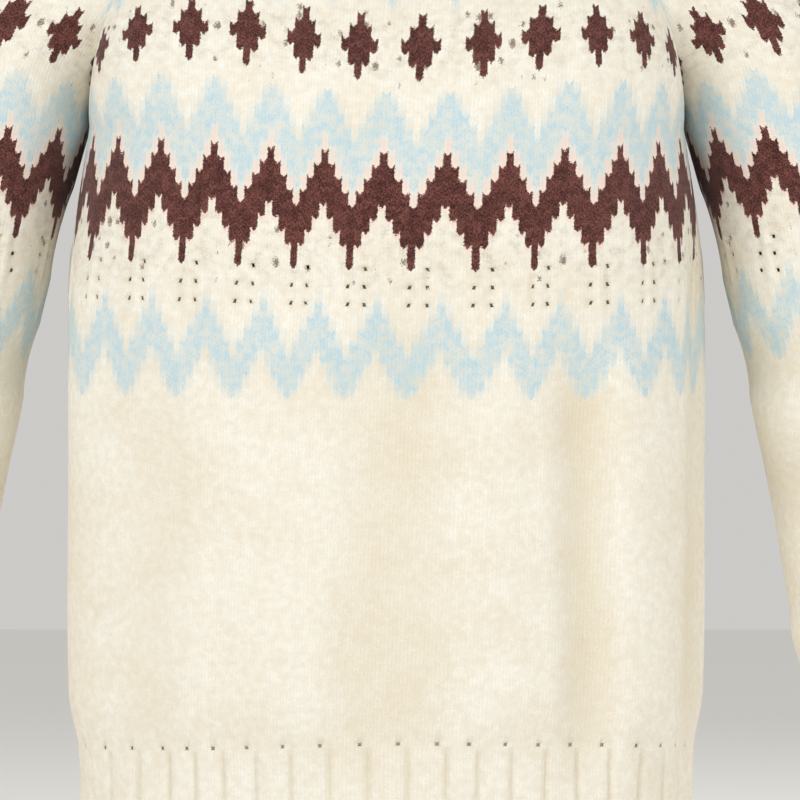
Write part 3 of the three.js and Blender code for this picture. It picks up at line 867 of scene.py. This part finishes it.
def panel_sheet(sizes, is_back, folds):
    """The front or back: its lower points follow wales and rows, its yoke runs to the neck."""
    pitch = 4 * SEAM_TO_CENTRE / HEM_RIBS
    stitch = millimetres(sizes.stitch_width)
    row_size = millimetres(sizes.row_height)
    wales = [half / 2 for half in range(-2 * HALF_PANEL_WALES, 2 * HALF_PANEL_WALES + 1)]
    lines = sorted({*row_lines(0.0, ARMPIT_ROW), *TRANSFER_ROWS})
    sheet = empty_sheet()
    middle = len(wales) // 2
    full = None
    for line, row in enumerate(lines):
        points, fold_row, relief = [], [], []
        for wale in wales:
            height = HEM_RIB + row_size * min(row, OPENWORK_TOP)
            across = wale_place(wale, height, is_back) / SEAM_TO_CENTRE
            height = row_height_at(sizes, is_back, across, row)
            across += eyelet_shift(wale, row) * stitch / SEAM_TO_CENTRE
            points.append(body_point(is_back, clamp(across, -1, 1), height))
            fold_row.append(fold_offset(folds, across, height))
            rib = ribs_across(across * SEAM_TO_CENTRE, pitch)
            off = abs(rib - round(rib)) * pitch
            echo = RIB_ECHO * rib_relief(sizes, off, pitch) * math.exp(-row / RIB_ECHO_ROWS)
            relief.append(openwork_relief(wale, row) + echo)
        sheet["points"].append(points)
        sheet["folds"].append(fold_row)
        sheet["relief"].append(relief)
        along = ring_distances(points, middle)
        if row <= OPENWORK_TOP:
            full = along
        climbed = row_size * max(row - OPENWORK_TOP, 0)
        counted = counted_wales(wales, along, full, climbed / stitch, is_back)
        sheet["stitches"].append([(wale, row) for wale in counted])
        for column, (low, high) in enumerate(zip(wales, wales[1:])):
            if is_eyelet(low, high, row):
                sheet["holes"].add((line, column))
            start, end = (
                ribs_across(wale_place(place, HEM_RIB, is_back) - TRANSFER_OFFSET, pitch)
                for place in (low, high)
            )
            if row == TRANSFER_ROWS[0] and math.floor(start) != math.floor(end):
                sheet["holes"].add((line, column))
    height = HEM_RIB + row_size * OPENWORK_TOP
    places = [clamp(wale_place(wale, height, is_back) / SEAM_TO_CENTRE, -1, 1) for wale in wales]
    columns = [panel_stops(sizes, is_back, across) for across in places]

    def count(along, climbed):
        start = row_size * (ARMPIT_ROW - OPENWORK_TOP)
        return counted_wales(wales, along, full, (start + climbed) / stitch, is_back)

    def bow(index, rows):
        up = smooth(rows / YOKE_BOW_START)
        return 0 if is_back else YOKE_BOW_ROWS * up * math.sin(math.pi * places[index]) ** 2

    add_yoke(sheet, columns, YOKE_STEPS, row_size, count, bow)
    for points in sheet["points"][-YOKE_STEPS:]:
        sheet["folds"].append([fold_offset(folds, place, p.z) for place, p in zip(places, points)])
    sheet["closed"] = [False] * len(sheet["points"])
    sink_holes(sheet)
    return sheet


def counted_wales(wales, along, full, climbed, is_back):
    """The wale at each point of a row. Above the openwork the piece grows narrower, and its outer
    wales end in the seams; the others lean a little more."""
    lean = -WALE_LEAN if is_back else WALE_LEAN
    counted = []
    for wale, here, there in zip(wales, along, full):
        kept = wale * here / there if wale else 0
        shift = lean * climbed * (1 - (wale / HALF_PANEL_WALES) ** 4)
        counted.append(kept - shift)
    return counted


def eyelet_shift(wale, row):
    """How many wales a hole's corner moves, more at its top, and a little more or less each time."""
    for eyelet in EYELETS:
        off = wales_from(eyelet["wale"], wale)
        if abs(off) > 0.3:
            continue
        for start in eyelet["rows"]:
            uneven = math.sin(wale * 5.3 + start * 2.1)
            if row == start:
                return eyelet["shift"] - off * CORNER_PULL["low"] * (1 + uneven)
            if row == start + EYELET_HEIGHT:
                return eyelet["shift"] + eyelet["lean"] - off * CORNER_PULL["high"] * (1 + uneven)
    return 0


def add_yoke(sheet, columns, steps, row_size, count, bow):
    """Adds the rows above the armpits. Rows are counted along each column, less a bow, and count
    gives the wales from the distances along a row and the height climbed."""
    climbed = [0.0] * len(columns)
    middle = len(columns) // 2
    for step in range(1, steps + 1):
        before = sheet["points"][-1]
        points = [bezier(stops, step / steps) for stops in columns]
        rows = []
        for index, point in enumerate(points):
            climbed[index] += (point - before[index]).length
            rows.append(climbed[index] / row_size / YOKE_ROW_STRETCH)
        wales = count(ring_distances(points, middle), climbed[middle])
        sheet["points"].append(points)
        sheet["relief"].append([0] * len(columns))
        sheet["stitches"].append([
            (wale, ARMPIT_ROW + row - bow(index, row)) for index, (wale, row) in enumerate(zip(wales, rows))
        ])


def ring_distances(points, middle):
    """Signed distances along a row of points from its middle one."""
    lengths = [0.0, *accumulate((end - start).length for start, end in zip(points, points[1:]))]
    return [length - lengths[middle] for length in lengths]


def sleeve_sheet(sizes):
    """The left sleeve: a tube up to the armpit and an open cap up to the neck."""
    stitch = millimetres(sizes.stitch_width)
    row_size = millimetres(sizes.row_height)
    lowest = ARMPIT_ROW - SLEEVE_DROP * SLEEVE_SLANT / row_size
    lines = row_lines(lowest, ARMPIT_ROW)
    sheet = empty_sheet()
    arounds = [column / SLEEVE_COLUMNS for column in range(SLEEVE_COLUMNS + 1)]
    for line, row in enumerate(lines):
        down = (ARMPIT_ROW - row) * row_size / SLEEVE_SLANT
        points = [sleeve_point(sizes, around, down) for around in arounds]
        wales = [distance / stitch for distance in ring_distances(points, SLEEVE_COLUMNS // 2)]
        sheet["points"].append(points)
        sheet["folds"].append([sleeve_fold_offset(around, down) for around in arounds])
        relief = [openwork_relief(wale, row) for wale in wales]
        relief[0] = relief[-1] = (relief[0] + relief[-1]) / 2
        sheet["relief"].append(relief)
        sheet["stitches"].append([(wale, row) for wale in wales])
        sheet["closed"].append(True)
        for column in range(2, SLEEVE_COLUMNS - 2):
            if is_eyelet(wales[column], wales[column + 1], row):
                sheet["holes"].add((line, column))
    columns = [cap_stops(sizes, around) for around in arounds]
    add_yoke(
        sheet, columns, CAP_STEPS, row_size,
        lambda along, climbed: [distance / stitch for distance in along], lambda index, rows: 0,
    )
    sheet["folds"] += [[0] * len(arounds)] * CAP_STEPS
    sheet["closed"] += [False] * CAP_STEPS
    sink_holes(sheet)
    return sheet


def ribbed_sheet(sizes, ribs, steps, length, surface, edge, fold=lambda around, up: 0):
    """A ribbed tube. The surface and the fold take a share of the way round and a share of the way
    up, and edge is where its cast-on or bound-off edge lies, 0 below or 1 above."""
    sheet = empty_sheet()
    arounds = [(rib + phase) / ribs for rib in range(ribs) for phase in RIB_PHASES] + [1.0]
    girth = sum(
        (surface(start, 0.5) - surface(end, 0.5)).length for start, end in zip(arounds, arounds[1:])
    )
    pitch = girth / ribs
    rows = length / millimetres(sizes.row_height)
    for step in range(steps + 1):
        up = step / steps
        roll = EDGE_ROLL * math.exp(-((up - edge) * length / EDGE_LENGTH) ** 2)
        eased = 1 - RUN_OUT_SHARE * math.exp(-((1 - edge - up) * length / RUN_OUT_LENGTH) ** 2)
        relief = []
        for around in arounds:
            off = abs((around * ribs + 0.5) % 1 - 0.5) * pitch
            relief.append(rib_relief(sizes, off, pitch) * (1 - roll) * eased + roll)
        sheet["points"].append([surface(around, up) for around in arounds])
        sheet["folds"].append([fold(around, up) for around in arounds])
        sheet["relief"].append(relief)
        whole = round(girth / millimetres(sizes.stitch_width))
        sheet["stitches"].append([(around * whole, (up - 1) * rows) for around in arounds])
    sheet["closed"] = [True] * (steps + 1)
    return sheet


# Width and length in metres of each piece laid flat, all round on a tube.
PANEL_CUT = (0.5, 0.53)
SLEEVE_CUT = (0.36, 0.66)
HEM_CUT = (0.98, 0.062)
CUFF_CUT = (0.215, 0.058)
NECKBAND_CUT = (0.49, 0.026)

# The right sleeve and cuff mirror the left ones.
SIDES = (("left", False), ("right", True))


class KnitPanels(bpy.types.Operator):
    """Knit the front and the back"""

    bl_idname = "jumper.knit_panels"
    bl_label = "Front and back"

    def execute(self, context):
        sizes = context.scene.jumper_sizes
        for name, is_back, folds in (("front", False, FRONT_FOLDS), ("back", True, BACK_FOLDS)):
            sheet = panel_sheet(sizes, is_back, folds)
            knit_piece(context, f"knitted_{name}", name, sheet, PANEL_CUT, facing=-1 if is_back else 1)
        return {"FINISHED"}


class KnitSleeves(bpy.types.Operator):
    """Knit both sleeves"""

    bl_idname = "jumper.knit_sleeves"
    bl_label = "Sleeves"

    def execute(self, context):
        sheet = sleeve_sheet(context.scene.jumper_sizes)
        for side, mirrored in SIDES:
            name = f"sleeve_{side}"
            knit_piece(context, f"knitted_{name}", name, sheet, SLEEVE_CUT, mirrored=mirrored)
        return {"FINISHED"}


class KnitHemRib(bpy.types.Operator):
    """Knit the ribbed hem"""

    bl_idname = "jumper.knit_hem_rib"
    bl_label = "Hem rib"

    def execute(self, context):
        sizes = context.scene.jumper_sizes

        def place(around):
            is_back = around > 0.5
            across = clamp(3 - 4 * around if is_back else 4 * around - 1, -1, 1)
            drift = table_value(RIB_DRIFT, "across", "drift", across * SEAM_TO_CENTRE)
            return is_back, across + drift / SEAM_TO_CENTRE

        def surface(around, up):
            is_back, across = place(around)
            return body_point(is_back, across, row_height_at(sizes, is_back, across, 0) * up)

        def fold(around, up):
            is_back, across = place(around)
            return fold_offset(BACK_FOLDS if is_back else FRONT_FOLDS, across, surface(around, up).z)

        sheet = ribbed_sheet(sizes, HEM_RIBS, HEM_STEPS, HEM_RIB, surface, 0, fold)
        knit_piece(context, "ribbed_hem", "hem_rib", sheet, HEM_CUT, banded=False)
        return {"FINISHED"}


class KnitCuffs(bpy.types.Operator):
    """Knit both ribbed cuffs"""

    bl_idname = "jumper.knit_cuffs"
    bl_label = "Cuffs"

    def execute(self, context):
        sizes = context.scene.jumper_sizes
        top = armpit_height(sizes) - SLEEVE_DROP

        def surface(around, up):
            section = {size: end + (CUFF_START[size] - end) * up for size, end in CUFF_END.items()}
            return tube_point(section, around, top - CUFF * (1 - up))

        sheet = ribbed_sheet(sizes, CUFF_RIBS, CUFF_STEPS, CUFF, surface, 0)
        for side, mirrored in SIDES:
            name = f"cuff_{side}"
            knit_piece(context, f"ribbed_{name}", name, sheet, CUFF_CUT, banded=False, mirrored=mirrored)
        return {"FINISHED"}


class KnitNeckband(bpy.types.Operator):
    """Knit the ribbed neckband"""

    bl_idname = "jumper.knit_neckband"
    bl_label = "Neckband"

    def execute(self, context):
        sizes = context.scene.jumper_sizes

        def surface(around, up):
            turn = 2 * math.pi * around
            return ring_point(NECK_RING, turn).lerp(ring_point(NECKBAND_TOP, turn), up)

        length = (surface(0, 1) - surface(0, 0)).length
        sheet = ribbed_sheet(sizes, NECK_RIBS, NECKBAND_STEPS, length, surface, 1)
        knit_piece(context, "ribbed_neckband", "neckband", sheet, NECKBAND_CUT, banded=False)
        return {"FINISHED"}


# Camera: level with the middle of the photographed stretch of the front. The photo's width is
# measured in metres on the plane of the front, and the camera's height from the hem's edge.
PHOTO_WIDTH = 0.428
CAMERA_DISTANCE = 2.4
FRONT_PLANE = -0.122
CAMERA_X = 0.0075
CAMERA_HEIGHT = 0.2482
FLOOR_Z = -0.78
FLOOR_REACH = 6.0
SKY_STRENGTH = 0.605
LIGHT_TARGET = (0, 0, -0.3)
LIGHTS = [
    {"name": "key", "at": (-1.6, -2.0, 0.8), "size": 1.5, "watts": 32},
    {"name": "fill", "at": (1.8, -1.7, 0.3), "size": 1.8, "watts": 20.5},
    {"name": "back", "at": (0.6, 1.9, 1.3), "size": 1.5, "watts": 15},
]


class LightStudio(bpy.types.Operator):
    """Set up the floor, the soft lights and the camera"""

    bl_idname = "jumper.light_studio"
    bl_label = "Studio"

    def execute(self, context):
        scene = context.scene
        floor_mesh = bpy.data.meshes.new("studio_floor")
        corners = [
            (FLOOR_REACH * x, FLOOR_REACH * y, FLOOR_Z) for x, y in ((-1, -1), (1, -1), (1, 1), (-1, 1))
        ]
        floor_mesh.from_pydata(corners, [], [(0, 1, 2, 3)])
        floor = bpy.data.objects.new("studio_floor", floor_mesh)
        scene.collection.objects.link(floor)
        paint = bpy.data.materials.new("matt_white_paint")
        paint.use_nodes = True
        shader = paint.node_tree.nodes["Principled BSDF"]
        shader.inputs["Base Color"].default_value = (*linear("#F2F1EE"), 1)
        shader.inputs["Roughness"].default_value = 0.9
        floor_mesh.materials.append(paint)

        world = bpy.data.worlds.new("white_studio")
        world.use_nodes = True
        background = world.node_tree.nodes["Background"]
        background.inputs["Color"].default_value = (*linear("#FFFDFA"), 1)
        background.inputs["Strength"].default_value = SKY_STRENGTH
        scene.world = world

        for light in LIGHTS:
            data = bpy.data.lights.new(light["name"], "AREA")
            data.size = light["size"]
            data.energy = light["watts"]
            lamp = bpy.data.objects.new(light["name"], data)
            lamp.location = light["at"]
            aim = Vector(LIGHT_TARGET) - lamp.location
            lamp.rotation_euler = aim.to_track_quat("-Z", "Y").to_euler()
            scene.collection.objects.link(lamp)

        data = bpy.data.cameras.new("camera")
        data.sensor_fit = "HORIZONTAL"
        data.angle = 2 * math.atan(PHOTO_WIDTH / 2 / CAMERA_DISTANCE)
        camera = bpy.data.objects.new("camera", data)
        height = CAMERA_HEIGHT - SHOULDER_HEIGHT / 1000
        camera.location = (CAMERA_X, FRONT_PLANE - CAMERA_DISTANCE, height)
        camera.rotation_euler = (math.pi / 2, 0, 0)
        scene.collection.objects.link(camera)
        scene.camera = camera
        scene.view_settings.view_transform = "Standard"
        return {"FINISHED"}


OPERATORS = (KnitPanels, KnitSleeves, KnitHemRib, KnitCuffs, KnitNeckband, LightStudio)


class JumperPanel(bpy.types.Panel):
    """Lists the jumper's pieces, sizes and colours"""

    bl_idname = "VIEW3D_PT_jumper"
    bl_label = "Fair isle jumper"
    bl_space_type = "VIEW_3D"
    bl_region_type = "UI"
    bl_category = "Jumper"

    def draw(self, context):
        for group in (context.scene.jumper_sizes, context.scene.jumper_colours):
            box = self.layout.box()
            for name in group.__annotations__:
                box.prop(group, name)
        for operator in OPERATORS:
            self.layout.operator(operator.bl_idname)


CLASSES = (JumperSizes, JumperColours, *OPERATORS, JumperPanel)


def register():
    for made in CLASSES:
        bpy.utils.register_class(made)
    bpy.types.Scene.jumper_sizes = bpy.props.PointerProperty(type=JumperSizes)
    bpy.types.Scene.jumper_colours = bpy.props.PointerProperty(type=JumperColours)


def unregister():
    del bpy.types.Scene.jumper_colours
    del bpy.types.Scene.jumper_sizes
    for made in reversed(CLASSES):
        bpy.utils.unregister_class(made)


def main():
    register()
    bpy.ops.jumper.light_studio()
    bpy.ops.jumper.knit_panels()
    bpy.ops.jumper.knit_sleeves()
    bpy.ops.jumper.knit_hem_rib()
    bpy.ops.jumper.knit_cuffs()
    bpy.ops.jumper.knit_neckband()


if __name__ == "__main__":
    main()
